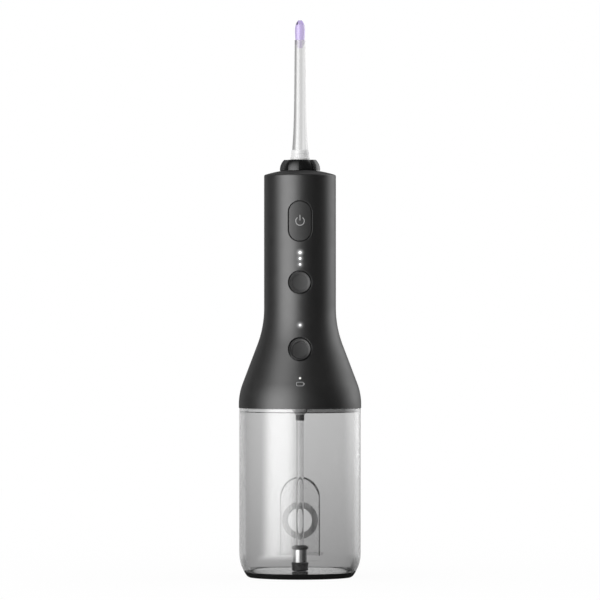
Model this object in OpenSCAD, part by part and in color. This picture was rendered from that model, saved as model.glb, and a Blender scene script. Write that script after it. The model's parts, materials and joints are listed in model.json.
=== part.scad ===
// Cordless water flosser: smoky reservoir below, flared handle above, turning jet nozzle on top.
// Millimetres. Z up, the buttons face -Y, the foot stands on z = 0 around the origin.

/* [Reservoir] */
// Outer diameter of the reservoir
reservoir_d = 66; // [63:0.5:72]
// Height of the seam between reservoir and handle
reservoir_h = 91.6; // [84:0.2:104]
// Wall thickness of the reservoir
reservoir_wall = 3.6; // [2.4:0.1:3.8]
// Radius of the rounded lower corner
base_round = 20; // [18:0.5:24]
// Height where the rounding of the lower corner begins
round_h = 13; // [11:0.5:15]
// Thickness of the reservoir floor
floor_t = 1.8; // [1.4:0.1:2.6]
// Height of the neck that enters the handle
neck_h = 5.5; // [5:0.1:7]
// Wall thickness of the neck
neck_wall = 2.6; // [2:0.1:3]

/* [Foot] */
// Height of the foot's rim
foot_h = 3; // [2.4:0.1:4]
// Thickness of the foot's sole
sole_t = 0.9; // [0.8:0.1:1.4]

/* [Fill door] */
// Width of the fill door
door_w = 22.6; // [20:0.2:24]
// Height of the arch top above the table
door_top_h = 53.4; // [47:0.2:62]
// Height of the hinge axis above the table
door_hinge_h = 11.4; // [10.6:0.1:14]
// Thickness of the door's curved skin
door_skin = 2.2; // [1.8:0.1:2.5]
// Diameter of the fill hole
fill_hole_d = 13.6; // [10:0.2:14.4]
// Height of the fill hole's centre
fill_hole_h = 29.6; // [27:0.2:34]
// Width of the ring seal on the door
gasket_w = 3.4; // [1.8:0.1:3.6]
// Thickness of the ring seal on the door
gasket_t = 1.2; // [0.8:0.1:1.6]
// Diameter of the hinge pin
hinge_pin_d = 1.6; // [1.2:0.1:1.8]

/* [Handle] */
// Outer diameter of the grip
handle_d = 39; // [38.4:0.1:43]
// Wall thickness of the handle
handle_wall = 2.2; // [1.8:0.1:2.4]
// Height of the straight band above the seam
skirt_land = 1.8; // [1:0.1:3]
// Radius of the convex lower flare
flare_low_r = 32.5; // [27:0.5:38]
// Radius of the concave upper flare
flare_up_r = 56.5; // [46:0.5:64]
// Steepest slope of the flare in degrees
flare_angle = 20.8; // [19.4:0.2:23]
// Rise of the domed top
dome_h = 3.1; // [2.4:0.1:3.8]
// Rounding of the top rim
rim_round = 0.9; // [0.5:0.1:1.4]
// Space between the upper shelf and the top rim
head_room = 12; // [11.6:0.1:15]

/* [Controls] */
// Width of the power button
power_w = 12; // [9:0.2:13]
// Height of the power button
power_l = 21.4; // [16:0.2:23]
// Power button centre below the top rim
power_down = 25.2; // [22.6:0.2:29.6]
// Diameter of the two round buttons
button_d = 11.4; // [9:0.2:12.6]
// Intensity button centre below the power button's
intensity_down = 33; // [31.4:0.2:37.4]
// Mode button centre above the seam
mode_up = 32.4; // [29:0.2:36]
// Groove between a button and the handle
button_gap = 0.5; // [0.35:0.05:0.6]
// Width of the groove around each round button
round_gap = 0.7; // [0.5:0.05:0.9]
// Travel of the buttons
button_travel = 0.6; // [0.4:0.05:0.8]
// Diameter of the largest intensity light
light_d = 2.1; // [1.6:0.1:2.4]
// Largest intensity light below the power button's centre
light_down = 17; // [14.9:0.1:19.4]
// Spacing of the intensity lights
light_pitch = 3.2; // [2.7:0.1:3.6]
// Mode light above the seam
mode_light_up = 45.3; // [43:0.1:48]
// Battery light above the seam
battery_light_up = 16.8; // [15.6:0.1:18]

/* [Knob and nozzle] */
// Diameter of the knob
knob_d = 21.9; // [19:0.1:24]
// Diameter of the knob's top face
knob_top_d = 17.3; // [15.6:0.1:18.6]
// Rise of the knob above the crown of the dome
knob_rise = 5.2; // [4.4:0.1:6.5]
// Depth of the knob's four flutes
flute_depth = 1.8; // [1:0.1:2]
// Width of the knob's four lands in degrees
land_angle = 33; // [24:1:44]
// Diameter of the knob's neck
neck_d = 13; // [11.6:0.1:13.6]
// Diameter of the nozzle's stem
stem_d = 6.8; // [6:0.1:7.4]
// Diameter of the nozzle's base
nozzle_base_d = 9.5; // [8.8:0.1:10.6]
// Height of the nozzle's base
nozzle_base_h = 5.4; // [4.6:0.1:7]
// Length of the clear tube
nozzle_tube_l = 59.6; // [48:0.2:70]
// Lower diameter of the clear tube
nozzle_low_d = 8.6; // [7.8:0.1:8.8]
// Upper diameter of the clear tube
nozzle_top_d = 5.8; // [5.4:0.1:6.4]
// Length of the soft tip
tip_l = 11; // [8:0.1:14]
// Diameter of the soft tip
tip_d = 5.5; // [5:0.1:6.2]
// Diameter of the water channel
channel_d = 1.8; // [1.4:0.1:2.2]

/* [Suction] */
// Outer diameter of the suction hose
hose_d = 4.1; // [3.8:0.1:4.5]
// Inner diameter of the suction hose
hose_bore = 2.4; // [2:0.1:2.6]
// Height of the strainer
strainer_h = 4.9; // [4:0.1:6]
// Diameter of the strainer
strainer_d = 9.4; // [9:0.1:11]
// Height of the steel sinker
sinker_h = 7.1; // [5:0.1:9]
// Diameter of the steel sinker
sinker_d = 7.9; // [7.2:0.1:8.4]
// Height of the cap over the sinker
cap_h = 2.3; // [1.8:0.1:3]

/* [Drive] */
// Diameter of the motor
motor_d = 24; // [21:0.2:24.6]
// Length of the motor's can
motor_l = 21.5; // [18:0.5:26]
// Diameter of the battery cell
cell_d = 18.4; // [16:0.2:18.8]
// Length of the battery cell
cell_l = 65; // [60:0.5:70]
// Gear module
gear_module = 0.5; // [0.46:0.01:0.52]
// Teeth of the pinion
pinion_teeth = 10; // [10:1:11]
// Teeth of the drive gear
gear_teeth = 36; // [34:1:37]
// Offset of the crank
crank_throw = 1.5; // [1.2:0.05:1.6]
// Diameter of the piston
piston_d = 8; // [7.6:0.1:8.4]
// Diameter of the outlet hose
outlet_d = 4; // [3.6:0.1:4.2]
// Width of the circuit board
board_w = 22; // [19:0.5:22.5]

/* [Hidden] */
$fn = 96;
eps = 0.01;
arc_n = 28;
run_gap = 0.05;

reservoir_r = reservoir_d / 2;
bore_r = reservoir_r - reservoir_wall;
round_c = reservoir_r - base_round;
floor_z = sole_t + floor_t;
function corner_r(z, off) = round_c + sqrt(pow(base_round - off, 2) - pow(round_h - z, 2));

seam_gap = 0.25;
skirt_z = reservoir_h + seam_gap;
skirt_top = skirt_z + skirt_land;
skirt_r = reservoir_r + 0.25;
handle_r = handle_d / 2;
inner_r = handle_r - handle_wall;
flare_line_r = skirt_r - handle_r - (flare_low_r + flare_up_r) * (1 - cos(flare_angle));
flare_top = skirt_top + (flare_low_r + flare_up_r) * sin(flare_angle) + flare_line_r / tan(flare_angle);

neck_top = reservoir_h + neck_h;
neck_r = skirt_r - handle_wall - 0.3;
neck_bore_r = neck_r - neck_wall;

deck_z = reservoir_h + 0.5;
deck_t = 2.5;
deck_top = deck_z + deck_t;
flange_t = 2;
plug_r = neck_bore_r - 0.4;
ring_r = 1.1;
ring_c = neck_bore_r - run_gap - ring_r;
ring_z = deck_top + 0.1;
cup_r = ring_c - ring_r - 1.4;

pump_z = deck_top + piston_d / 2 + 2;
barrel_r = piston_d / 2 + 1.4;
gear_z = pump_z + barrel_r + 0.9;
gear_t = 3.4;
plate_z = gear_z + gear_t + 0.4;
plate_t = 2.4;
motor_z = plate_z + plate_t;
endcap_t = 3;
shelf_t = 1.8;
shelf_z = motor_z + motor_l + endcap_t;
cell_z = shelf_z + shelf_t;
top_shelf_z = cell_z + cell_l;
fitting_z = top_shelf_z + shelf_t;
rim_z = fitting_z + head_room;

board_t = 1.2;
board_y = -(inner_r - 5.8);
board_back = board_y + board_t;
board_z = pump_z + 3.6;
motor_r = motor_d / 2;
motor_y = board_back + 1.8 + motor_r;
cell_y = board_back + 4.6 + cell_d / 2;
pitch_gear = gear_module * gear_teeth / 2;
pitch_pinion = gear_module * pinion_teeth / 2;
crank_y = motor_y + pitch_gear + pitch_pinion;
axle_r = 1.25;
shaft_r = 1;

dome_r = (pow(handle_r, 2) + pow(dome_h, 2)) / (2 * dome_h);
dome_c = rim_z + dome_h - dome_r;
crown_z = rim_z + dome_h;
function dome_z(r) = dome_c + sqrt(pow(dome_r, 2) - pow(r, 2));

function arc(cx, cy, r, a0, a1, n) =
    [for (i = [0:n]) [cx + r * cos(a0 + (a1 - a0) * i / n), cy + r * sin(a0 + (a1 - a0) * i / n)]];

// The handle's outline moved inward by off, from its lower edge at zb up to the axis
function handle_outline(off, zb) = concat(
    [[0, zb], [skirt_r - off, zb]],
    arc(skirt_r - flare_low_r, skirt_top, flare_low_r - off, 0, flare_angle, arc_n),
    arc(handle_r + flare_up_r, flare_top, flare_up_r + off, 180 + flare_angle, 180, arc_n),
    off < rim_round ? rim_arc(off) : [],
    dome_arc(off)
);
rim_c = handle_r - rim_round;
rim_lift = sqrt(pow(dome_r - rim_round, 2) - pow(rim_c, 2));
function rim_arc(off) = arc(rim_c, dome_c + rim_lift, rim_round - off, 0, atan2(rim_lift, rim_c), 6);
function dome_start(off) = off < rim_round ? atan2(rim_lift, rim_c) : acos((handle_r - off) / (dome_r - off));
function dome_arc(off) = arc(0, dome_c, dome_r - off, dome_start(off) + (off < rim_round ? 0.6 : 0), 90, 20);

module handle_solid(off, zb) {
    rotate_extrude() polygon(handle_outline(off, zb));
}

module skin(outer, inner) {
    difference() {
        handle_solid(outer, skirt_z);
        handle_solid(inner, skirt_z - 1);
    }
}

// A round bar along Y from y0 to y1
module bar_y(r, y0, y1, x, z) {
    translate([x, y0, z]) rotate([-90, 0, 0]) cylinder(r = r, h = y1 - y0);
}

// A round bar along X from x0 to x1
module bar_x(r, x0, x1, y, z) {
    translate([x0, y, z]) rotate([0, 90, 0]) cylinder(r = r, h = x1 - x0);
}

// An upright obround prism along Y
module obround_y(w, l, y0, y1, z) {
    bar_y(w / 2, y0, y1, 0, z + (l - w) / 2);
    bar_y(w / 2, y0, y1, 0, z - (l - w) / 2);
    translate([-w / 2, y0, z - (l - w) / 2]) cube([w, y1 - y0, l - w]);
}

module ring(ro, ri, z0, z1) {
    rotate_extrude() translate([ri, z0]) square([ro - ri, z1 - z0]);
}

module torus(rc, r, z) {
    rotate_extrude() translate([rc, z]) circle(r = r, $fn = 32);
}

// Reservoir and foot

door_gap = 0.3;
door_half = door_w / 2;
pocket_half = door_half + door_gap;
knuckle_r = hinge_pin_d / 2 + 0.7;
hinge_y = sqrt(pow(reservoir_r, 2) - pow(pocket_half, 2)) - hinge_pin_d / 2 - 1;
pocket_y = hinge_y - knuckle_r - door_gap;
pocket_low = door_hinge_h - norm([reservoir_r - hinge_y, knuckle_r]) - 0.6;
pad_t = 2.4;
pad_side = 2.4;

// An upright prism along Y with a half-round top
module arch_y(half, y0, y1, low, top) {
    translate([0, y1, top - half]) rotate([90, 0, 0]) linear_extrude(height = y1 - y0) {
        intersection() {
            circle(r = half);
            translate([-2 * half, 0]) square([4 * half, 2 * half]);
        }
        translate([-half, low - top + half]) square([2 * half, top - half - low]);
    }
}

spigot_wall = 1;
spigot_r = corner_r(foot_h, reservoir_wall) + spigot_wall;

module reservoir_body(off, z0, z1) {
    rotate_extrude() {
        intersection() {
            translate([round_c, round_h]) circle(r = base_round - off, $fn = 180);
            translate([0, z0]) square([reservoir_d, round_h - z0]);
        }
        translate([0, round_h]) square([reservoir_r - off, z1 - round_h]);
        if (round_c > 0) translate([0, z0]) square([round_c + eps, round_h - z0]);
    }
}

shoulder_z = reservoir_h - 1.6;
shoulder_h = 0.35;

module reservoir_shell() {
    color("#8d979b", 0.5) difference() {
        union() {
            difference() {
                union() {
                    reservoir_body(0, foot_h, reservoir_h);
                    translate([0, 0, sole_t]) cylinder(r = spigot_r, h = foot_h - sole_t + eps);
                    ring(neck_r, neck_bore_r, reservoir_h - eps, neck_top);
                }
                reservoir_body(reservoir_wall, floor_z, shoulder_z - shoulder_h);
                translate([0, 0, shoulder_z - shoulder_h - eps])
                    cylinder(r1 = bore_r, r2 = neck_bore_r, h = shoulder_h + eps);
                translate([0, 0, shoulder_z - eps]) cylinder(r = neck_bore_r, h = neck_h + 4);
            }
            intersection() {
                arch_y(pocket_half + pad_side, pocket_y - pad_t, reservoir_r, floor_z - 0.2,
                    door_top_h + door_gap + pad_side);
                union() {
                    reservoir_body(reservoir_wall / 2, foot_h, shoulder_z);
                    translate([0, 0, floor_z - 0.2]) cylinder(r = spigot_r - spigot_wall / 2, h = foot_h);
                }
            }
        }
        arch_y(pocket_half, pocket_y, reservoir_r + 2, pocket_low, door_top_h + door_gap);
        bar_y(fill_hole_d / 2, pocket_y - pad_t - 2, pocket_y + 1, 0, fill_hole_h);
        bar_x(hinge_pin_d / 2, -pocket_half - 1.6, pocket_half + 1.6, hinge_y, door_hinge_h);
    }
}

sole_round = 0.6;

module foot_pad() {
    color("#17181a") difference() {
        rotate_extrude() difference() {
            intersection() {
                translate([round_c, round_h]) circle(r = base_round, $fn = 180);
                square([reservoir_d, foot_h]);
            }
            translate([corner_r(0, 0) - sole_round, 0]) polygon([
                [0, -1], [sole_round + 3, -1], [sole_round + 3, sole_round],
                [corner_r(sole_round, 0) - corner_r(0, 0) + sole_round, sole_round], [0, 0]
            ]);
        }
        translate([0, 0, sole_t]) cylinder(r = spigot_r, h = foot_h);
    }
}

module door_hinge_pin() {
    color("#b9bcc0") bar_x(hinge_pin_d / 2, -pocket_half - 1.6, pocket_half + 1.6, hinge_y, door_hinge_h);
}

skin_low = door_hinge_h - knuckle_r;
boss_r = fill_hole_d / 2 + gasket_w;
scoop_r = 7.2;

module fill_door() {
    color("#98a2a6", 0.5) difference() {
        union() {
            intersection() {
                arch_y(door_half, pocket_y, reservoir_r + 1, skin_low, door_top_h);
                difference() {
                    cylinder(r = reservoir_r - 0.05, h = door_top_h + 1);
                    translate([0, 0, -1]) cylinder(r = reservoir_r - door_skin, h = door_top_h + 3);
                }
            }
            intersection() {
                difference() {
                    bar_y(boss_r, pocket_y + gasket_t + run_gap, reservoir_r, 0, fill_hole_h);
                    bar_y(boss_r - 1.6, pocket_y, reservoir_r - door_skin - 0.4, 0, fill_hole_h);
                }
                cylinder(r = reservoir_r - door_skin / 2, h = door_top_h);
            }
            bar_x(knuckle_r, -door_half, door_half, hinge_y, door_hinge_h);
            intersection() {
                translate([-door_half, hinge_y, skin_low]) cube([door_w, reservoir_r, 2 * knuckle_r]);
                cylinder(r = reservoir_r - door_skin / 2, h = door_top_h);
            }
        }
        bar_x(hinge_pin_d / 2 + run_gap, -door_w, door_w, hinge_y, door_hinge_h);
        // finger scoop in the outer face above the seal
        translate([0, reservoir_r + scoop_r - 1, fill_hole_h + boss_r + 4.6]) rotate([0, 90, 0])
            translate([0, 0, -door_half / 2]) cylinder(r = scoop_r, h = door_half);
    }
}

module door_gasket() {
    color("#70767a") difference() {
        bar_y(boss_r, pocket_y + run_gap, pocket_y + run_gap + gasket_t, 0, fill_hole_h);
        bar_y(fill_hole_d / 2, pocket_y - 1, pocket_y + gasket_t + 2, 0, fill_hole_h);
    }
}

// Handle shell with its cut-outs

boss_z = rim_z - 1.8;
collar_r = neck_d / 2;
port_z = motor_z + 1.8;
port_w = 12;
port_h = 7;
port_axis_z = port_z - port_h / 2;
function cone_r(z) = skirt_r - flare_low_r + flare_low_r * cos(flare_angle)
    - (z - skirt_top - flare_low_r * sin(flare_angle)) * tan(flare_angle);
port_axis_y = cone_r(port_axis_z) - 1.25;
flap_r = 0.9;

function light_r(i) = light_d / 2 * [1, 0.86, 0.74][i];
power_z = rim_z - power_down;
intensity_z = power_z - intensity_down;
mode_z = reservoir_h + mode_up;
lights_z = power_z - light_down;
mode_light_z = reservoir_h + mode_light_up;
battery_light_z = reservoir_h + battery_light_up;
mode_light_r = 0.8;
battery_light_r = 0.7;

module handle_shell() {
    color("#1d1e20") difference() {
        union() {
            skin(0, handle_wall);
            intersection() {
                ring(collar_r + 3.2, collar_r, boss_z, crown_z);
                handle_solid(handle_wall / 2, skirt_z);
            }
        }
        translate([0, 0, boss_z - 1]) cylinder(r = collar_r + 0.1, h = crown_z);
        obround_y(power_w + 2 * button_gap, power_l + 2 * button_gap, -handle_d, 0, power_z);
        bar_y(button_d / 2 + round_gap, -handle_d, 0, 0, intensity_z);
        bar_y(button_d / 2 + round_gap, -reservoir_d, 0, 0, mode_z);
        for (i = [0:2]) bar_y(light_r(i), -handle_d, 0, 0, lights_z - i * light_pitch);
        bar_y(mode_light_r, -reservoir_d, 0, 0, mode_light_z);
        bar_y(battery_light_r, -reservoir_d, 0, 0, battery_light_z);
        translate([-port_w / 2 - 0.3, 0, port_axis_z - flap_r - 0.4])
            cube([port_w + 0.6, reservoir_d, port_h + flap_r + 0.7]);
    }
}

module button_cap(lip) {
    intersection() {
        children(0);
        skin(-0.05, handle_wall + 0.9);
    }
    intersection() {
        children(1);
        skin(handle_wall + 0.1, handle_wall + lip);
    }
}

switch_h = 3.5;
switch_y = board_y - switch_h;
plunger_end = switch_y - button_travel - run_gap;
plunger_r = 1.5;
lip_t = 1;
lip_w = 1.1;
round_lip_r = button_d / 2 + round_gap + lip_w - button_gap;

module plunger(z, surface_r) {
    bar_y(plunger_r, -(surface_r - handle_wall - 0.5), plunger_end, 0, z);
}

// Outer radius of the handle at height z: grip, concave flare, cone, convex flare
function outer_r_at(z) = z > flare_top ? handle_r
    : z > flare_top - flare_up_r * sin(flare_angle)
        ? handle_r + flare_up_r - sqrt(pow(flare_up_r, 2) - pow(flare_top - z, 2))
    : z > skirt_top + flare_low_r * sin(flare_angle) ? cone_r(z)
    : skirt_r - flare_low_r + sqrt(pow(flare_low_r, 2) - pow(z - skirt_top, 2));

// Slope of the handle's front at height z in degrees
function slope_at(z) = atan((outer_r_at(z - 0.5) - outer_r_at(z + 0.5)) / 1);

// The power button's face is flatter than the grip and level with it along its two sides
power_face_r = 40;
function sag(r, half) = r - sqrt(pow(r, 2) - pow(half, 2));
power_face_y = handle_r - sag(handle_r, power_w / 2) + sag(power_face_r, power_w / 2);

module power_button() {
    color("#26272a") intersection() {
        union() {
            button_cap(lip_t) {
                obround_y(power_w, power_l, -handle_d, 0, power_z);
                obround_y(power_w + lip_w, power_l + 2 * lip_w, -handle_d, 0, power_z);
            }
            plunger(power_z, handle_r);
        }
        translate([0, power_face_r - power_face_y, power_z - power_l])
            cylinder(r = power_face_r, h = 2 * power_l);
    }
}

// The finger dish of a round button: a round recess with a slightly hollow floor, turned to the handle's slope
dish_r = 60;
dish_depth = 0.8;
dish_rim = 1.3;
module dish(z, surface_r, slope) {
    translate([0, -surface_r, z]) rotate([-slope, 0, 0]) intersection() {
        translate([0, dish_depth - dish_r, 0]) sphere(r = dish_r, $fn = 240);
        bar_y(button_d / 2 - dish_rim, -button_d, button_d, 0, 0);
    }
}

module intensity_button() {
    color("#26272a") difference() {
        union() {
            button_cap(lip_t) {
                bar_y(button_d / 2, -handle_d, 0, 0, intensity_z);
                bar_y(round_lip_r, -handle_d, 0, 0, intensity_z);
            }
            plunger(intensity_z, handle_r);
        }
        dish(intensity_z, handle_r, 0);
    }
}

module mode_button() {
    color("#26272a") difference() {
        union() {
            button_cap(lip_t) {
                bar_y(button_d / 2, -reservoir_d, 0, 0, mode_z);
                bar_y(round_lip_r, -reservoir_d, 0, 0, mode_z);
            }
            plunger(mode_z, outer_r_at(mode_z));
        }
        dish(mode_z, outer_r_at(mode_z), slope_at(mode_z));
    }
}

led_t = 0.8;
led_y = board_y - led_t;

module light_guide(r, z) {
    intersection() {
        bar_y(r, -reservoir_d, led_y, 0, z);
        handle_solid(0, skirt_z);
    }
}

module intensity_lights() {
    color("#f4f6f8") for (i = [0:2]) light_guide(light_r(i), lights_z - i * light_pitch);
}

module mode_light() {
    color("#f4f6f8") light_guide(mode_light_r, mode_light_z);
}

module battery_light() {
    color("#fff1d0") light_guide(battery_light_r, battery_light_z);
}

// Knob and nozzle

knob_r = knob_d / 2;
knob_top = crown_z + knob_rise;
knob_gap = 0.2;
knob_low = dome_z(knob_r) + knob_gap;
knob_band = 0.6;
knob_rise_arc = knob_top - knob_low - knob_band;
knob_in = (knob_d - knob_top_d) / 2;
knob_arc_r = (pow(knob_rise_arc, 2) + pow(knob_in, 2)) / (2 * knob_in);
knob_arc_a = asin(knob_rise_arc / knob_arc_r);
stem_r = stem_d / 2;
stem_bore = stem_r + run_gap;
clip_t = 1;
clip_z = boss_z - knob_gap - clip_t;
collar_low = clip_z - 1.2;

function knob_outline(inset) = concat(
    [for (i = [0:8]) let (r = collar_r - 0.5 + (knob_r - inset - collar_r + 0.5) * i / 8) [r, dome_z(r) + knob_gap]],
    arc(knob_r - inset - knob_arc_r, knob_low + knob_band, knob_arc_r, 0, knob_arc_a, 14),
    [[collar_r - 0.5, knob_top]]
);

key_w = 1.4;
key_h = 1.2;

module nozzle_knob() {
    color("#202124") difference() {
        union() {
            rotate_extrude() polygon(knob_outline(flute_depth));
            for (i = [0:3]) rotate([0, 0, -109.5 - land_angle / 2 + 90 * i])
                rotate_extrude(angle = land_angle) polygon(knob_outline(0));
            translate([0, 0, collar_low]) cylinder(r = collar_r, h = knob_top - collar_low);
        }
        translate([0, 0, collar_low - 1]) cylinder(r = stem_bore, h = knob_top);
        ring(collar_r + 1, collar_r - 1, clip_z, clip_z + clip_t);
        translate([-key_w / 2 - 0.1, 0, knob_top - key_h - 0.1]) cube([key_w + 0.2, stem_r + 1.2, key_h + 1]);
    }
}

module knob_clip() {
    color("#9a9da2") difference() {
        ring(collar_r + 2.2, collar_r - 1, clip_z, clip_z + clip_t);
        translate([-2, 0, clip_z - 1]) cube([4, collar_r + 4, clip_t + 2]);
    }
}

stem_low = collar_low - 1.5;
base_top = knob_top + nozzle_base_h;
channel_r = channel_d / 2;
spigot_tube_r = 1.6;
socket_r = spigot_tube_r + 0.3;
spigot_top = stem_low + 5;
joint_r = nozzle_low_d / 2 - 1.6;
joint_h = 3.4;
base_r = nozzle_base_d / 2;

module nozzle_base() {
    color("#e9ebec") difference() {
        union() {
            translate([0, 0, stem_low]) cylinder(r = stem_r, h = knob_top - stem_low + eps);
            rotate_extrude() polygon([
                [0, knob_top], [base_r + 0.45, knob_top], [base_r + 0.45, knob_top + 1.1],
                [base_r + 0.2, knob_top + 1.4], [base_r + 0.05, knob_top + 2.7], [base_r - 0.12, knob_top + 2.8],
                [base_r - 0.12, knob_top + 3.1], [base_r + 0.02, knob_top + 3.2],
                [base_r - 0.1, base_top - 0.4], [base_r - 0.4, base_top], [0, base_top]
            ]);
            translate([-key_w / 2, 0, knob_top - key_h]) cube([key_w, stem_r + 1, key_h + eps]);
        }
        translate([0, 0, stem_low - 1]) cylinder(r = socket_r, h = spigot_top + 1 - stem_low + 1);
        translate([0, 0, stem_low]) cylinder(r = channel_r, h = nozzle_tube_l);
        translate([0, 0, base_top - joint_h]) cylinder(r = joint_r, h = joint_h + 1);
    }
}

tube_top = base_top + nozzle_tube_l;
tube_low_r = nozzle_low_d / 2;
tube_top_r = nozzle_top_d / 2;
tail_l = 4.4;

// Radius of the clear tube at a share t of its length: a quick flare near the base, then a slow taper
function tube_r(t) = tube_top_r + (tube_low_r - tube_top_r) * (0.34 * (1 - t) + 0.66 * pow(1 - t, 5));

module nozzle_tube() {
    color("#dfe6ea", 0.45) difference() {
        rotate_extrude() polygon(concat(
            [[0, base_top - joint_h], [joint_r, base_top - joint_h], [joint_r, base_top]],
            [for (i = [0:24]) [tube_r(i / 24), base_top + nozzle_tube_l * i / 24]],
            [[0, tube_top]]
        ));
        translate([0, 0, base_top - joint_h - 1]) cylinder(r = channel_r, h = nozzle_tube_l + joint_h + 2);
        translate([0, 0, tube_top - tail_l])
            cylinder(r1 = channel_r, r2 = tube_top_r - 0.8, h = tail_l + eps);
    }
}

tip_r = tip_d / 2;
tip_top = tube_top + tip_l;
jet_r = 0.45;
slit_w = 0.8;
slit_h = 2.6;

module nozzle_tip() {
    color("#8f6bb0", 0.85) difference() {
        rotate_extrude() polygon(concat(
            [[0, tube_top - tail_l], [channel_r, tube_top - tail_l], [tube_top_r - 0.8, tube_top],
            [tip_r - 0.3, tube_top]],
            [for (i = [1:5]) [tip_r - 0.3 * pow(1 - i / 5, 2), tube_top + (tip_l - 2 * tip_r) * i / 5]],
            [for (i = [1:12]) [tip_r * cos(i * 7), tip_top - 2 * tip_r + 2 * tip_r * sin(i * 7) / sin(84)]],
            [[0, tip_top]]
        ));
        translate([0, 0, tube_top - tail_l - 1]) cylinder(r = jet_r + 0.2, h = tail_l + tip_l - 2);
        translate([0, 0, tube_top]) cylinder(r = jet_r, h = tip_l + 1);
        for (a = [0, 90]) rotate([0, 0, a + 45])
            translate([-slit_w / 2, -tip_r, tip_top - slit_h]) cube([slit_w, 2 * tip_r, slit_h + 1]);
    }
}

// Suction side: port under the deck, hose, sinker and strainer

port_low = deck_z - 4;
hose_r = hose_d / 2;
hose_in = hose_bore / 2;
strainer_z = floor_z + 0.3;
sinker_z = strainer_z + strainer_h;
cap_z = sinker_z + sinker_h;
cap_top = cap_z + cap_h;
hose_low = sinker_z + 2;
sleeve_h = 3.1;
barb_l = sleeve_h - 0.1;

module suction_port() {
    color("#55595d") difference() {
        union() {
            rotate_extrude() polygon([
                [0, port_low], [hose_r + 0.3, port_low], [hose_r + 1.4, port_low + 1.4],
                [hose_r + 1.6, port_low + 1.9], [hose_r + 3.6, deck_z], [0, deck_z]
            ]);
            translate([0, 0, deck_z - eps]) cylinder(r = 2.6, h = 0.9 + eps);
            translate([0, 0, port_low - barb_l]) cylinder(r = hose_in, h = barb_l + eps);
        }
        translate([0, 0, port_low - barb_l - 1]) cylinder(r = hose_in - 0.4, h = deck_top - port_low + barb_l);
    }
}

module suction_hose() {
    color("#c3c9cc", 0.6) ring(hose_r, hose_in, hose_low, port_low);
}

module hose_sleeve() {
    color("#191a1c") ring(hose_r + 0.28, hose_r, port_low - sleeve_h, port_low);
}

module sinker_cap() {
    color("#191a1c") difference() {
        rotate_extrude() polygon([
            [0, cap_z], [sinker_d / 2, cap_z], [sinker_d / 2 + 0.7, cap_z + 0.9], [sinker_d / 2 + 0.7, cap_z + 1.3],
            [sinker_d / 2 + 0.3, cap_z + 1.6], [hose_r + 1, cap_top], [0, cap_top]
        ]);
        translate([0, 0, cap_z - 1]) cylinder(r = hose_r, h = cap_h + 2);
    }
}

module sinker() {
    color("#c8cacc") difference() {
        translate([0, 0, sinker_z]) cylinder(r = sinker_d / 2, h = sinker_h);
        translate([0, 0, hose_low]) cylinder(r = hose_r, h = sinker_h);
        translate([0, 0, sinker_z - 1]) cylinder(r = hose_in, h = sinker_h);
    }
}

strainer_r = strainer_d / 2;
ridge_n = 5;
ridge_p = (strainer_h - 1) / ridge_n;

module strainer() {
    color("#191a1c") difference() {
        rotate_extrude() polygon(concat(
            [[0, strainer_z], [strainer_r - 0.7, strainer_z]],
            [for (i = [0:ridge_n - 1]) for (s = [[0.1, 0.5], [0.4, 0.5], [0.5, 0.2], [0.9, 0.2]])
                [strainer_r - s[1] * (1 - 0.3 * i / ridge_n), strainer_z + ridge_p * (i + s[0])]],
            [[strainer_r, strainer_z + strainer_h - 1], [strainer_r, strainer_z + strainer_h - 0.4],
            [sinker_d / 2, strainer_z + strainer_h], [0, strainer_z + strainer_h]]
        ));
        translate([0, 0, strainer_z + 1.2]) cylinder(r = strainer_r - 1.6, h = strainer_h - 2.2);
        translate([0, 0, strainer_z + 1]) cylinder(r = hose_in, h = strainer_h);
        for (a = [0:45:135]) rotate([0, 0, a])
            translate([-0.35, 0.9, strainer_z - 1]) cube([0.7, strainer_r - 2.8, 3]);
        for (a = [180:45:315]) rotate([0, 0, a])
            translate([-0.35, 0.9, strainer_z - 1]) cube([0.7, strainer_r - 2.8, 3]);
    }
}

// Pump deck: the cup that closes the handle and seals the reservoir's neck

post_r = 2.8;
post_ring = cup_r - post_r - 1.6;
screw_r = 1;
screw_l = 8;
pump_l = 18.2;
bore_end = crank_y - crank_throw - pump_l - 0.8;
valve_y = bore_end - 1.6;
outlet_r = outlet_d / 2;
riser_y = valve_y;
riser_ring = inner_r - outlet_r - 0.5;
riser_x = sqrt(pow(riser_ring, 2) - pow(riser_y, 2));
// The posts stand beside the outlet's riser, at an angle that keeps them clear of it
post_clear = post_r + outlet_r + 1;
post_swing = acos(min(1, (pow(post_ring, 2) + pow(riser_ring, 2) - pow(post_clear, 2)) / (2 * post_ring * riser_ring)));
post_angle = atan2(-riser_y, riser_x) - post_swing;
post_x = post_ring * cos(post_angle);
post_y = post_ring * sin(post_angle);

module at_posts() {
    for (sx = [-1, 1]) for (sy = [-1, 1]) translate([sx * post_x, sy * post_y, 0]) children();
}

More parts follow.
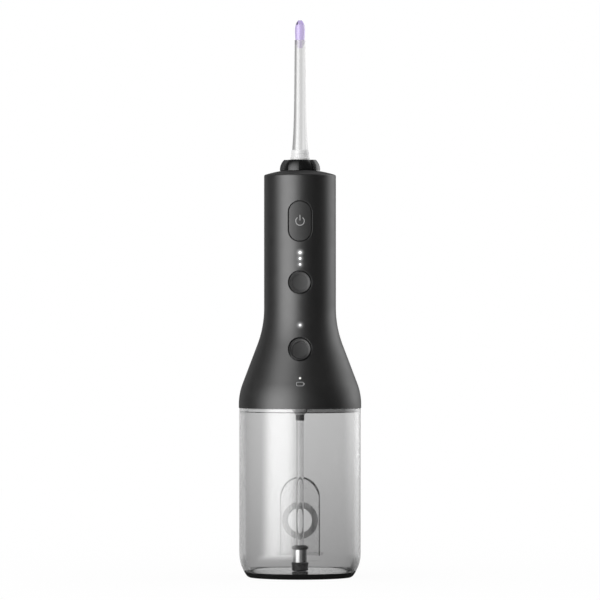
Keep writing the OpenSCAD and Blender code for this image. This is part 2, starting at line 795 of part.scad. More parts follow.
module pump_deck() {
    color("#2b2d30") difference() {
        union() {
            translate([0, 0, deck_z]) cylinder(r = plug_r, h = neck_top - deck_z + eps);
            intersection() {
                translate([0, 0, neck_top]) cylinder(r = skirt_r, h = flange_t);
                handle_solid(handle_wall, skirt_z);
            }
        }
        difference() {
            translate([0, 0, deck_top]) cylinder(r = cup_r, h = 2 * neck_top - reservoir_h - deck_top);
            translate([0, crank_y, deck_top - eps]) cylinder(r = 2.6, h = pump_z - 2.1 - deck_top);
        }
        ring(plug_r + 1, ring_c - ring_r, ring_z - ring_r, ring_z + ring_r);
        translate([0, 0, deck_z - 1]) cylinder(r = 2.6, h = 1.9);
        translate([0, 0, deck_z]) cylinder(r = hose_in, h = deck_t + 1);
        translate([-hose_in, valve_y, deck_top - 1.4]) cube([hose_bore, -valve_y, 2]);
        translate([0, valve_y, deck_top - 1.4]) cylinder(r = hose_in, h = 2);
        at_posts() translate([0, 0, deck_z - 1]) cylinder(r = screw_r, h = deck_t + 2);
        at_posts() translate([0, 0, deck_z - 1]) cylinder(r = 1.9, h = 2);
    }
}

module deck_seal() {
    color("#5b5f63") torus(ring_c, ring_r, ring_z);
}

module deck_screws() {
    color("#a4a7ab") at_posts() {
        translate([0, 0, deck_z]) cylinder(r = 1.9, h = 1);
        translate([0, 0, deck_z + 1 - eps]) cylinder(r = screw_r, h = screw_l);
    }
}

// Chassis: gear plate on four posts, two side rails and two shelves

rail_r = inner_r - 0.4;
plate_r = post_ring + post_r + 0.8;
board_half = board_w / 2;

module shelf(z) {
    difference() {
        translate([0, 0, z]) cylinder(r = rail_r, h = shelf_t);
        translate([-handle_d, -handle_d, z - 1]) cube([2 * handle_d, handle_d + board_back, shelf_t + 2]);
        translate([riser_x, riser_y, z - 1]) cylinder(r = outlet_r + 0.2, h = shelf_t + 2);
    }
}

module chassis() {
    color("#d5d3cc") difference() {
        union() {
            difference() {
                translate([0, 0, plate_z]) cylinder(r = plate_r, h = plate_t);
                translate([-board_half - 1, -plate_r - 1, plate_z - 1])
                    cube([board_w + 2, plate_r + 1 + board_back, plate_t + 2]);
                translate([riser_x, riser_y, plate_z - 1]) cylinder(r = outlet_r + 0.2, h = plate_t + 2);
                translate([0, motor_y, plate_z - 1]) cylinder(r = 3, h = plate_t + 2);
                translate([0, crank_y, plate_z - 1]) cylinder(r = axle_r, h = plate_t + 2);
            }
            at_posts() translate([0, 0, deck_top]) cylinder(r = post_r, h = plate_z - deck_top + eps);
            shelf(shelf_z);
            shelf(top_shelf_z);
            intersection() {
                ring(rail_r, rail_r - 1.6, motor_z - eps, fitting_z);
                translate([-handle_d, motor_y - 3, motor_z - eps])
                    cube([2 * handle_d, 6, fitting_z - motor_z + eps]);
            }
        }
        at_posts() translate([0, 0, deck_top - 1]) cylinder(r = screw_r, h = screw_l);
    }
}

// Electronics

board_top = top_shelf_z + shelf_t;

module circuit_board() {
    color("#1f5b3a") translate([-board_half, board_y, board_z]) cube([board_w, board_t, board_top - board_z]);
}

switch_w = 4.6;
switch_body = 2.4;

module switch_at(z) {
    translate([-switch_w / 2, board_y - switch_body, z - switch_w / 2]) cube([switch_w, switch_body, switch_w]);
    bar_y(1.3, switch_y, board_y - switch_body + eps, 0, z);
}

module key_switches() {
    color("#3a3c40") {
        switch_at(power_z);
        switch_at(intensity_z);
        switch_at(mode_z);
    }
}

module led_at(z) {
    translate([-0.9, led_y, z - 0.6]) cube([1.8, led_t, 1.2]);
}

module led_chips() {
    color("#f2ecd2") {
        for (i = [0:2]) led_at(lights_z - i * light_pitch);
        led_at(mode_light_z);
        led_at(battery_light_z);
    }
}

module button_seals() {
    color("#4a4d51") {
        seal_at(power_z);
        seal_at(intensity_z);
        seal_at(mode_z);
    }
}

seal_bore = switch_w / 2 * sqrt(2) + 0.25;
seal_r = seal_bore + 0.9;
seal_face = 0.55;
press_room = 0.4;
// Reach of a sleeve from the axis: short of the pressed cap's back, which is nearest at the sleeve's upper edge
function seal_reach(z) = min(switch_body + 2.7 - board_y,
    sqrt(pow(outer_r_at(z + seal_r) - handle_wall - lip_t, 2) - pow(seal_r, 2)) - button_travel - press_room);

// A sleeve around the plunger's end, standing on the board around its switch
module seal_at(z) {
    difference() {
        bar_y(seal_r, -seal_reach(z), board_y, 0, z);
        bar_y(seal_bore, -seal_reach(z) + seal_face, board_y + 1, 0, z);
        bar_y(plunger_r + 0.15, -reservoir_r, board_y, 0, z);
    }
}

module battery_cell() {
    color("#3d6ea5") translate([0, cell_y, cell_z]) cylinder(r = cell_d / 2, h = cell_l);
}

socket_half = 4.6;
socket_h = 3.6;
socket_y1 = sqrt(pow(plate_r, 2) - pow(socket_half, 2));
socket_reach = 6.6;
socket_l = min(socket_reach, socket_y1 - motor_y - motor_r - 0.4);
slot_y = socket_y1 - socket_l + 1.4;

module charge_socket() {
    color("#7c8084") difference() {
        translate([-socket_half, socket_y1 - socket_l, motor_z]) cube([2 * socket_half, socket_l, socket_h]);
        for (z = [0.5, socket_h - 1.2])
            translate([-socket_half + 0.5, slot_y, motor_z + z]) cube([2 * socket_half - 1, socket_l, 0.7]);
        translate([-socket_half + 0.5, socket_y1 - 1.2, motor_z + 0.5])
            cube([2 * socket_half - 1, socket_l, socket_h - 1]);
    }
}

module charge_cover() {
    color("#2a2b2e") union() {
        intersection() {
            translate([-port_w / 2, 0, port_axis_z]) cube([port_w, reservoir_d, port_h]);
            skin(0.02, 1.8);
        }
        difference() {
            intersection() {
                translate([-port_w / 2 + 1, 0, port_axis_z + 0.3]) cube([port_w - 2, reservoir_d, port_h - 1.6]);
                skin(1.2, 2.1);
            }
            translate([-port_w, 0, port_axis_z - port_h]) cube([port_w * 2, socket_y1 + 0.2, port_h * 3]);
        }
        bar_x(flap_r, -3.4, 3.4, port_axis_y, port_axis_z);
    }
}

// Motor, gear stage and piston pump

module motor() {
    color("#b5b8bb") difference() {
        union() {
            translate([0, motor_y, motor_z]) cylinder(r = motor_r, h = motor_l);
            translate([0, motor_y, plate_z]) cylinder(r = 3, h = plate_t + eps);
        }
        translate([0, motor_y, plate_z - 1]) cylinder(r = shaft_r + run_gap, h = motor_l + plate_t + endcap_t);
    }
}

module motor_endcap() {
    color("#2f3134") difference() {
        translate([0, motor_y, motor_z + motor_l]) cylinder(r = motor_r - 1, h = endcap_t);
        translate([0, motor_y, motor_z + motor_l - 1]) cylinder(r = shaft_r + run_gap, h = endcap_t);
    }
}

module motor_shaft() {
    color("#d0d2d4") translate([0, motor_y, gear_z - 0.4])
        cylinder(r = shaft_r, h = motor_z + motor_l + 1 - gear_z);
}

// Spur gear outline: n teeth with straight flanks and backlash
function tooth(n, i, m) = let (p = 360 / n, c = p * i, rp = m * n / 2)
    [for (s = [[-0.31, -1.15], [-0.2, 0], [-0.1, 0.8], [0.1, 0.8], [0.2, 0], [0.31, -1.15]])
        (rp + s[1] * m) * [cos(c + s[0] * p), sin(c + s[0] * p)]];
function gear_outline(n, m) = [for (i = [0:n - 1]) each tooth(n, i, m)];

module motor_pinion() {
    color("#c9a24a") translate([0, motor_y, gear_z - 0.4]) difference() {
        rotate([0, 0, 90 + 180 / pinion_teeth]) linear_extrude(height = gear_t + 0.6)
            polygon(gear_outline(pinion_teeth, gear_module));
        translate([0, 0, -1]) cylinder(r = shaft_r, h = gear_t + 3);
    }
}

ecc_r = 4;
rod_t = 3.8;

module drive_gear() {
    color("#e3dfd2") difference() {
        union() {
            translate([0, crank_y, gear_z]) rotate([0, 0, -90]) linear_extrude(height = gear_t)
                polygon(gear_outline(gear_teeth, gear_module));
            translate([0, crank_y - crank_throw, pump_z - rod_t / 2 - 0.1])
                cylinder(r = ecc_r, h = gear_z - pump_z + rod_t / 2 + 0.1 + eps);
        }
        translate([0, crank_y, gear_z - 2.3]) cylinder(r = axle_r + run_gap, h = gear_t + 4);
    }
}

module gear_axle() {
    color("#d0d2d4") translate([0, crank_y, gear_z - 2]) cylinder(r = axle_r, h = motor_z - gear_z + 2);
}

strap_r = 6.3;
ball_r = 1.1;
rod_l = 11.5;
wrist_y = crank_y - crank_throw - rod_l;

module connecting_rod() {
    color("#cfd3d6") difference() {
        union() {
            translate([0, crank_y - crank_throw, pump_z - rod_t / 2]) cylinder(r = strap_r, h = rod_t);
            bar_y(0.8, wrist_y, crank_y - crank_throw - ecc_r - 1, 0, pump_z);
            translate([0, wrist_y, pump_z]) sphere(r = ball_r, $fn = 32);
        }
        translate([0, crank_y - crank_throw, pump_z - rod_t]) cylinder(r = ecc_r + run_gap, h = 2 * rod_t);
    }
}

piston_r = piston_d / 2;
piston_back = crank_y - crank_throw - strap_r - 2 * crank_throw - 0.3;
piston_front = bore_end + 0.8;
hollow_r = ball_r + crank_throw + 0.15;
lip_ring_r = 0.5;

module piston() {
    color("#e8e8e4") difference() {
        bar_y(piston_r - run_gap, piston_front, piston_back, 0, pump_z);
        bar_y(hollow_r, wrist_y - ball_r - 2 * crank_throw - 0.2, piston_back + 1, 0, pump_z);
        difference() {
            bar_y(piston_r + 1, piston_front + 0.5, piston_front + 0.5 + 2 * lip_ring_r, 0, pump_z);
            bar_y(piston_r - 0.02 - 2 * lip_ring_r, piston_front, piston_front + 3, 0, pump_z);
        }
    }
}

module piston_seal() {
    color("#3b3d40") translate([0, piston_front + 0.5 + lip_ring_r, pump_z]) rotate([90, 0, 0])
        torus(piston_r - 0.02 - lip_ring_r, lip_ring_r, 0);
}

barrel_back = crank_y - crank_throw - strap_r - 0.4;
barrel_front = valve_y - 2.2;
valve_r = 2.2;
valve_t = 1.2;
outlet_x = barrel_r + 1.8;

module pump_barrel() {
    color("#dcdcd6") difference() {
        union() {
            bar_y(barrel_r, barrel_front, barrel_back, 0, pump_z);
            translate([-barrel_r, barrel_front, deck_top])
                cube([2 * barrel_r, barrel_back - barrel_front, pump_z - deck_top]);
            bar_x(3.1, 0, outlet_x, valve_y, pump_z);
        }
        bar_y(piston_r, bore_end, barrel_back + 1, 0, pump_z);
        bar_y(1.1, valve_y, bore_end + 1, 0, pump_z);
        translate([0, valve_y, deck_top - 1]) cylinder(r = 1.1, h = pump_z - deck_top + 1);
        translate([0, valve_y, deck_top - 1]) cylinder(r = valve_r, h = valve_t + 1);
        bar_x(1.1, 0, outlet_x + 1, valve_y, pump_z);
        bar_x(valve_r, outlet_x - valve_t, outlet_x + 1, valve_y, pump_z);
    }
}

module inlet_valve() {
    color("#b9524a") difference() {
        translate([0, valve_y, deck_top]) cylinder(r = valve_r, h = valve_t);
        translate([-0.15, valve_y - 0.9, deck_top - 1]) cube([0.3, 1.8, valve_t + 2]);
    }
}

module outlet_valve() {
    color("#b9524a") difference() {
        bar_x(valve_r, outlet_x - valve_t, outlet_x, valve_y, pump_z);
        translate([outlet_x - valve_t - 1, valve_y - 0.9, pump_z - 0.15]) cube([valve_t + 2, 1.8, 0.3]);
    }
}

fitting_r = 4.2;
run_z = fitting_z + 2.4;
riser_turn = atan2(riser_y, riser_x);

// The outlet's route: out of the pump, up beside the cell and across to the fitting under the knob
module outlet_route(r, knee, over) {
    bar_x(r, outlet_x - over, riser_x, riser_y, pump_z);
    translate([riser_x, riser_y, pump_z]) cylinder(r = r, h = run_z - pump_z);
    rotate([0, 0, riser_turn]) bar_x(r, fitting_r - over, riser_ring, 0, run_z);
    translate([riser_x, riser_y, pump_z]) sphere(r = r + knee, $fn = 48);
    translate([riser_x, riser_y, run_z]) sphere(r = r + knee, $fn = 48);
}

module outlet_hose() {
    color("#c9cdd0") difference() {
        outlet_route(outlet_r, 0.3, 0);
        outlet_route(outlet_r - 0.8, 0.1, 1);
    }
}

groove_z = spigot_top - 2.4;
groove_r = 1.05;

module outlet_fitting() {
    color("#e0e0da") difference() {
        union() {
            translate([0, 0, fitting_z]) cylinder(r = fitting_r, h = 4.6);
            translate([0, 0, fitting_z + 4.6 - eps]) cylinder(r = spigot_tube_r, h = spigot_top - fitting_z - 4.6);
            rotate([0, 0, riser_turn]) bar_x(outlet_r - 0.8, 0, fitting_r + 3.4, 0, run_z);
        }
        translate([0, 0, run_z]) cylinder(r = 0.7, h = head_room);
        rotate([0, 0, riser_turn]) bar_x(0.7, 0, fitting_r + 5, 0, run_z);
        ring(spigot_tube_r + 1, groove_r, groove_z - 0.4, groove_z + 0.4);
    }
}

module spigot_seal() {
    color("#3b3d40") torus(groove_r + 0.4, 0.4, groove_z);
}

reservoir_shell();
foot_pad();
door_hinge_pin();
fill_door();
door_gasket();
handle_shell();
power_button();
intensity_button();
mode_button();
intensity_lights();
mode_light();
battery_light();
nozzle_knob();
knob_clip();
nozzle_base();
nozzle_tube();
nozzle_tip();
suction_port();
suction_hose();
hose_sleeve();
sinker_cap();
sinker();
strainer();
pump_deck();
deck_seal();
deck_screws();
chassis();
circuit_board();
key_switches();
led_chips();
button_seals();
battery_cell();
charge_socket();
charge_cover();
motor();
motor_endcap();
motor_shaft();
motor_pinion();
drive_gear();
gear_axle();
connecting_rod();
piston();
piston_seal();
pump_barrel();
inlet_valve();
outlet_valve();
outlet_hose();
outlet_fitting();
spigot_seal();
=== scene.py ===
"""A cordless water flosser: its suction hose, its printed marks, its finishes and the studio it stands in.

Metres, Z up, the buttons face -Y. Levels of colour, gloss and shade run from 0 to 1.
"""
import functools
import json
import math

import bpy
import numpy as np
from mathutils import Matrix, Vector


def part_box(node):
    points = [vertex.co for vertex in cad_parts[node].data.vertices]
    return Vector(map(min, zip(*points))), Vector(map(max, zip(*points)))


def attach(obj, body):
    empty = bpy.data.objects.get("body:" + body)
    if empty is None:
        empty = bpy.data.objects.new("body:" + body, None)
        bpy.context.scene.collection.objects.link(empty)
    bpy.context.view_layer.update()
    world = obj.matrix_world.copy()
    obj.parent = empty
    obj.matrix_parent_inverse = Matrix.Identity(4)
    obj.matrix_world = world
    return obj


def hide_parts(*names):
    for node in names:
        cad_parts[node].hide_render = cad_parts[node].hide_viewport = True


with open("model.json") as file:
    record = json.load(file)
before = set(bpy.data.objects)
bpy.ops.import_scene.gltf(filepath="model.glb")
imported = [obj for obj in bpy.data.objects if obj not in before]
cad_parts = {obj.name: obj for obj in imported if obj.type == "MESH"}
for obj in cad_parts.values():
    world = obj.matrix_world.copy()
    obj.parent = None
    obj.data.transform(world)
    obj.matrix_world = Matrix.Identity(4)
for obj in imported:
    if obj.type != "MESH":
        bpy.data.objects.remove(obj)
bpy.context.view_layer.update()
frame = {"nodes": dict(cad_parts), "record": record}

MM = 0.001
scene = bpy.context.scene
scene.view_settings.view_transform = "Standard"

# The photograph's frame: its scale at the object's axis, the row of the table under the axis, and the lens
PHOTO_SIDE = 600
PIXEL = 0.543 * MM
TABLE_ROW = 577
LENS, SENSOR = 300, 36


def add_camera():
    """A level camera in front of the buttons, as high as the middle row of the photograph."""
    data = bpy.data.cameras.new("camera")
    data.lens, data.sensor_width = LENS, SENSOR
    camera = bpy.data.objects.new("camera", data)
    scene.collection.objects.link(camera)
    distance = PHOTO_SIDE * PIXEL * LENS / SENSOR
    camera.location = (0, -distance, (TABLE_ROW - PHOTO_SIDE / 2) * PIXEL)
    camera.rotation_euler = (math.pi / 2, 0, 0)
    scene.camera = camera


add_camera()


# Surfaces

SMOOTH_ANGLE = math.radians(30)


def tube_faces(rows, around, ring=False):
    """Quads of rows x around points: a row closes on itself, and in a ring the last row joins the first."""
    r = np.arange(rows if ring else rows - 1)[:, None]
    c = np.arange(around)[None, :]
    r2, c2 = (r + 1) % rows, (c + 1) % around
    corners = (r * around + c, r * around + c2, r2 * around + c2, r2 * around + c)
    return np.stack(corners, -1).reshape(-1, 4)


def facing_out(points, faces):
    """The same quads, turned round if the volume they enclose comes out negative."""
    a, b, c, d = (points[faces[:, i]] for i in range(4))
    volume = np.sum(a * (np.cross(b, c) + np.cross(c, d)))
    return faces if volume > 0 else faces[:, ::-1]


def add_piece(name, points, faces, body, slot):
    """A closed piece that rides on a body, smooth but for its sharp edges."""
    mesh = bpy.data.meshes.new(name)
    mesh.from_pydata(points, [], facing_out(points, faces))
    mesh.polygons.foreach_set("use_smooth", np.ones(len(mesh.polygons), bool))
    mesh.set_sharp_from_angle(angle=SMOOTH_ANGLE)
    piece = bpy.data.objects.new(name, mesh)
    scene.collection.objects.link(piece)
    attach(piece, body)
    return piece


def turned(profile, around):
    """A closed outline turned about the Z axis: point(u, v) = (r(u) cos v, r(u) sin v, z(u))."""
    v = np.linspace(0, 2 * np.pi, around, endpoint=False)
    r, z = profile[:, :1], profile[:, 1:]
    points = np.stack([r * np.cos(v), r * np.sin(v), np.broadcast_to(z, (len(z), around))], -1)
    return points.reshape(-1, 3), tube_faces(len(profile), around, ring=True)


# The suction hose: a straight silicone tube from the port under the deck down into the sinker
HOSE_R, HOSE_BORE_R = 2.05 * MM, 1.2 * MM
hose_low, hose_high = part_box("suction_hose")[0].z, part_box("suction_hose")[1].z
HOSE_STEPS, HOSE_AROUND = 40, 64


def hose_wall():
    """The hose's section outline: up its outer wall and down its bore."""
    z = np.linspace(hose_low, hose_high, HOSE_STEPS)
    outer = np.stack([np.full(HOSE_STEPS, HOSE_R), z], -1)
    bore = np.stack([np.full(HOSE_STEPS, HOSE_BORE_R), z[::-1]], -1)
    return np.concatenate([outer, bore])


hose = add_piece("hose", *turned(hose_wall(), HOSE_AROUND), "handle", "clear_silicone")
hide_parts("suction_hose")


# The handle's outline from the top down: grip, concave flare, cone, convex flare, skirt
GRIP_R, SKIRT_R, SKIRT_TOP = 19.5 * MM, 33.25 * MM, 93.65 * MM
FLARE_UP_R, FLARE_LOW_R, FLARE_SLOPE = 56.5 * MM, 32.5 * MM, math.radians(20.8)
flare_sin, flare_cos = math.sin(FLARE_SLOPE), math.cos(FLARE_SLOPE)
cone_rise = (SKIRT_R - GRIP_R - (FLARE_LOW_R + FLARE_UP_R) * (1 - flare_cos)) / math.tan(FLARE_SLOPE)
cone_low = SKIRT_TOP + FLARE_LOW_R * flare_sin
cone_high = cone_low + cone_rise
flare_top = cone_high + FLARE_UP_R * flare_sin


def handle_radius(z):
    """The handle's outer radius at height z, piece by piece along its outline.

    A flare is an arc, r = middle -+ sqrt(R^2 - (z - end)^2), and the cone between them is straight."""
    fall = np.clip(flare_top - z, 0, FLARE_UP_R * flare_sin)
    rise = np.clip(z - SKIRT_TOP, 0, FLARE_LOW_R * flare_sin)
    upper = GRIP_R + FLARE_UP_R - np.sqrt(FLARE_UP_R**2 - fall**2)
    lower = SKIRT_R - FLARE_LOW_R + np.sqrt(FLARE_LOW_R**2 - rise**2)
    cone = SKIRT_R - FLARE_LOW_R * (1 - flare_cos) - (z - cone_low) * math.tan(FLARE_SLOPE)
    return np.where(z > cone_high, upper, np.where(z > cone_low, cone, lower))


def on_handle(x, z):
    """Depth y of the handle's front under a mark: y = -sqrt(handle_radius(z)^2 - x^2)."""
    return -np.sqrt(handle_radius(z) ** 2 - x**2)


# A mark's print stands a little above the surface that carries it and ends a little below
MARK_LIFT, MARK_SINK = 0.03 * MM, 0.06 * MM


def printed_line(line, stroke, face, closed=False):
    """A printed line, a flat ribbon carried along a path (x, z).

    The path is offset by half the stroke to each side, and each edge point goes to
    y = face(x, z), once just above the surface and once just below."""
    ahead = np.roll(line, -1, 0) - np.roll(line, 1, 0) if closed else np.gradient(line, axis=0)
    side = np.stack([-ahead[:, 1], ahead[:, 0]], -1)
    side *= stroke / 2 / np.linalg.norm(side, axis=1, keepdims=True)
    edges = np.stack([line - side, line + side, line + side, line - side], 1)
    lift = np.array([MARK_LIFT, MARK_LIFT, -MARK_SINK, -MARK_SINK])
    x, z = edges[..., 0], edges[..., 1]
    points = np.stack([x, face(x, z) - lift, z], -1).reshape(-1, 3)
    faces = tube_faces(len(line), 4, ring=closed)
    if not closed:
        last = 4 * (len(line) - 1)
        faces = np.concatenate([faces, [[3, 2, 1, 0], [last, last + 1, last + 2, last + 3]]])
    return points, faces


def joined(*parts):
    """Several closed meshes as one."""
    offsets = np.cumsum([0] + [len(points) for points, _ in parts[:-1]])
    points = np.concatenate([points for points, _ in parts])
    return points, np.concatenate([facing_out(p, f) + o for (p, f), o in zip(parts, offsets)])


# The power mark on its button: an open ring and a bar from near the ring's middle up through the opening
power_low, power_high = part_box("power_button")
POWER_Z = (power_low.z + power_high.z) / 2
POWER_RING_R, POWER_STROKE, POWER_GAP = 2.3 * MM, 0.40 * MM, math.radians(36)
POWER_BAR_LOW, POWER_BAR_HIGH = 0.3 * MM, 3.3 * MM
POWER_FACE_R = 40 * MM
RING_POINTS, BAR_POINTS = 64, 12


def on_power_button(x, z):
    """Depth y of the power button's face, an arc about an upright axis, the same at every height z.

    y = front + R - sqrt(R^2 - x^2)"""
    return power_low.y + POWER_FACE_R - np.sqrt(POWER_FACE_R**2 - x**2)


def power_mark():
    """A ring round the button's middle and an upright bar.

    The ring is (R cos t, R sin t), and leaves out the gap angle on both sides of its top."""
    angle = np.pi / 2 + np.linspace(POWER_GAP, 2 * np.pi - POWER_GAP, RING_POINTS)
    ring = np.stack([POWER_RING_R * np.cos(angle), POWER_Z + POWER_RING_R * np.sin(angle)], -1)
    bar_z = POWER_Z + np.linspace(POWER_BAR_LOW, POWER_BAR_HIGH, BAR_POINTS)
    bar = np.stack([np.zeros(BAR_POINTS), bar_z], -1)
    return joined(*(printed_line(line, POWER_STROKE, on_power_button) for line in (ring, bar)))


# The battery mark under its light: a rounded box with a terminal on its right
BATTERY_Z, BATTERY_HALF_W, BATTERY_HALF_H = 105.3 * MM, 1.85 * MM, 1.0 * MM
BATTERY_STROKE, BATTERY_POWER = 0.24 * MM, 6
TERMINAL_GAP, TERMINAL_HALF_H = 0.42 * MM, 0.5 * MM
CELL_POINTS, TERMINAL_POINTS = 72, 6


def battery_mark():
    """A superellipse |x/a|^6 + |z/b|^6 = 1 for the cell, and a short bar for its terminal."""
    angle = np.linspace(0, 2 * np.pi, CELL_POINTS, endpoint=False)
    c, s = np.cos(angle), np.sin(angle)
    reach = (np.abs(c) ** BATTERY_POWER + np.abs(s) ** BATTERY_POWER) ** (-1 / BATTERY_POWER)
    cell = np.stack([BATTERY_HALF_W * c * reach, BATTERY_Z + BATTERY_HALF_H * s * reach], -1)
    tip_x = np.full(TERMINAL_POINTS, BATTERY_HALF_W + TERMINAL_GAP)
    tip_z = BATTERY_Z + np.linspace(-TERMINAL_HALF_H, TERMINAL_HALF_H, TERMINAL_POINTS)
    return joined(
        printed_line(cell, BATTERY_STROKE, on_handle, closed=True),
        printed_line(np.stack([tip_x, tip_z], -1), BATTERY_STROKE, on_handle),
    )


marks = [
    add_piece("power_mark", *power_mark(), "power_button", "grey_plastic"),
    add_piece("battery_mark", *battery_mark(), "handle", "grey_plastic"),
]


# Finishes

class Value:
    """A socket that takes part in sums: each operator on values adds a Math node."""

    def __init__(self, shader, socket):
        self.shader, self.socket = shader, socket

    def math(self, operation, *operands):
        return self.shader.node("ShaderNodeMath", {"operation": operation}, dict(enumerate(operands)))

    def __add__(self, other):
        return self.math("ADD", self, other)

    def __sub__(self, other):
        return self.math("SUBTRACT", self, other)

    def __rsub__(self, other):
        return self.math("SUBTRACT", other, self)

    def __mul__(self, other):
        return self.math("MULTIPLY", self, other)

    def __truediv__(self, other):
        return self.math("DIVIDE", self, other)

    def __rtruediv__(self, other):
        return self.math("DIVIDE", other, self)

    def __pow__(self, other):
        return self.math("POWER", self, other)

    def __rpow__(self, other):
        return self.math("POWER", other, self)

    def __lt__(self, other):
        return self.math("LESS_THAN", self, other)

    def __gt__(self, other):
        return self.math("GREATER_THAN", self, other)

    __radd__, __rmul__ = __add__, __mul__

    def most(self, other):
        return self.math("MAXIMUM", self, other)

    def least(self, other):
        return self.math("MINIMUM", self, other)

    def size(self):
        return self.math("ABSOLUTE", self)

    def exp(self):
        return self.math("EXPONENT", self)


NOISE_ROUGHNESS = 0.55
EDGE_SAMPLES = 6


class Shader:
    """A finish under construction.

    node() adds one node: its settings first, then its sockets' values or links."""

    def __init__(self, owner):
        owner.use_nodes = True
        self.owner, self.tree = owner, owner.node_tree
        self.tree.nodes.clear()

    def node(self, kind, settings=None, sockets=None, out=0):
        made = self.tree.nodes.new(kind)
        for key, value in (settings or {}).items():
            setattr(made, key, value)
        for key, value in (sockets or {}).items():
            if isinstance(value, Value):
                self.tree.links.new(value.socket, made.inputs[key])
            else:
                made.inputs[key].default_value = value
        return Value(self, made.outputs[out]) if made.outputs else made

    def place(self, stretch=(1, 1, 1)):
        """Object coordinates, stretched so that a pattern is drawn out along an axis."""
        where = self.node("ShaderNodeTexCoord", out="Object")
        return self.node("ShaderNodeMapping", {}, {"Vector": where, "Scale": stretch})

    def noise(self, size, where=None, detail=3.0):
        """Soft noise from 0 to 1 whose blotches are about that size in metres."""
        sockets = {"Vector": where or self.place(), "Scale": 1 / size}
        sockets |= {"Detail": detail, "Roughness": NOISE_ROUGHNESS}
        return self.node("ShaderNodeTexNoise", {}, sockets)

    def step(self, value, low, high):
        """0 below low, 1 above high and a smooth rise between."""
        sockets = {"Value": value, "From Min": low, "From Max": high}
        return self.node("ShaderNodeMapRange", {"interpolation_type": "SMOOTHSTEP"}, sockets)

    def mix(self, share, first, second):
        """The first colour where share is 0 and the second where it is 1."""
        first, second = ((*c, 1) if isinstance(c, tuple) else c for c in (first, second))
        return self.node("ShaderNodeMix", {"data_type": "RGBA"}, {0: share, 6: first, 7: second}, out=2)

    def bump(self, height, depth, normal=None):
        """The normal over a relief: height times depth, in metres."""
        sockets = {"Height": height, "Distance": depth}
        return self.node("ShaderNodeBump", {}, sockets | ({"Normal": normal} if normal else {}))

    def parts(self, vector):
        """The x, y and z of a vector."""
        return [self.node("ShaderNodeSeparateXYZ", {}, {0: vector}, out=axis) for axis in "XYZ"]

    def path(self, kind):
        """One of the light path's facts about the ray that looks."""
        return self.node("ShaderNodeLightPath", out=kind)

    def rim(self, power):
        """0 where a face looks at the viewer, 1 where it turns edge-on, later for a higher power."""
        return self.node("ShaderNodeLayerWeight", {}, {"Blend": 0.5}, out="Facing") ** power

    def soft_edges(self, radius):
        """The normal with the edges rounded off by that radius, as a mould leaves them."""
        return self.node("ShaderNodeBevel", {"samples": EDGE_SAMPLES}, {"Radius": radius})

    def surface(self, **sockets):
        """A plain surface; the socket names have _ for a space."""
        return self.node("ShaderNodeBsdfPrincipled", {}, {k.replace("_", " "): v for k, v in sockets.items()})

    def done(self, result):
        self.node("ShaderNodeOutputMaterial", {}, {"Surface": result})
        return self.owner


FINISHES = {}


def finish(name):
    """A new finish, kept under its name."""
    FINISHES[name] = bpy.data.materials.new(name)
    return Shader(FINISHES[name])


def grey(level, tint=(1, 1, 1)):
    """A grey of that level, or a tint times the level."""
    return tuple(level * t for t in tint)


def least_of(values):
    """The least of several values."""
    return functools.reduce(Value.least, values)


# Moulded pieces: the size of their cloudiness, how far it moves their roughness, and how matt their rim is
CLOUD, CLOUD_MATT = 6 * MM, 0.1
MOULD_RIM, MOULD_RIM_MATT = 4, 0.5


def moulded(
    name, colour, roughness=0.4, grain=0.25 * MM, depth=0.004 * MM, edge=0.2 * MM, vary=0.12, gloss=0.8,
    glow=None, relief=None,
):
    """Moulded plastic or rubber: a fine grain, faint cloudiness in colour and gloss, soft edges.

    It carries a painted glow where glow(shader) says so, and rises by relief(shader), in metres."""
    s = finish(name)
    shine = {}
    if glow:
        shine = {"Emission_Color": s.mix(glow(s), grey(0), grey(1)), "Emission_Strength": 1.0}
    cloud = s.noise(CLOUD)
    tint = s.mix(cloud, grey(1 - vary, colour), grey(1 + vary, colour))
    normal = s.bump(s.noise(grain, detail=1.0), depth, normal=s.soft_edges(edge))
    if relief:
        normal = s.bump(relief(s), 1.0, normal=normal)
    matt = roughness - CLOUD_MATT / 2 + CLOUD_MATT * cloud + MOULD_RIM_MATT * s.rim(MOULD_RIM)
    return s.done(s.surface(
        Base_Color=tint, Roughness=matt, Normal=normal, Specular_IOR_Level=gloss, **shine))


# Metal pieces: the width and relief of the lines that turning or rolling leaves, and their edges
METAL_LINE, METAL_RELIEF, METAL_EDGE = 0.12 * MM, 0.001 * MM, 0.1 * MM
# How dark a line is, and the least and the added share of the metal's roughness
LINE_SHADE, LINE_MATT, LINE_MATT_MORE = 0.9, 0.6, 0.8
UPRIGHT, SIDEWAYS = (1, 1, 0.04), (0.04, 1, 1)


def polished(name, colour, roughness=0.12, stretch=UPRIGHT):
    """Turned or rolled metal: fine lines drawn out along one axis, in gloss and relief."""
    s = finish(name)
    lines = s.noise(METAL_LINE, s.place(stretch), detail=2.0)
    tint = s.mix(lines, grey(LINE_SHADE, colour), colour)
    normal = s.bump(lines, METAL_RELIEF, normal=s.soft_edges(METAL_EDGE))
    matt = roughness * LINE_MATT + roughness * LINE_MATT_MORE * lines
    return s.done(s.surface(Base_Color=tint, Metallic=1.0, Roughness=matt, Normal=normal))


# Clear pieces: their flow lines, the roughness left between those, their edges and the gloss of their skin
FLOW, FLOW_STRETCH, FLOW_MATT = 5 * MM, (1, 1, 0.15), 0.5
CLEAR_EDGE, CLEAR_COAT = 0.12 * MM, 0.68
# Their darkest level, which their painted shade goes down to, their clearest level, and how their very edge
# turns matt and lets the ground through
DARKEST, CLEAREST = 0.012, 0.97
CLEAR_RIM, CLEAR_RIM_MATT, OPEN_RIM, OPEN_RIM_SHARE = 6, 0.3, 5, 0.95


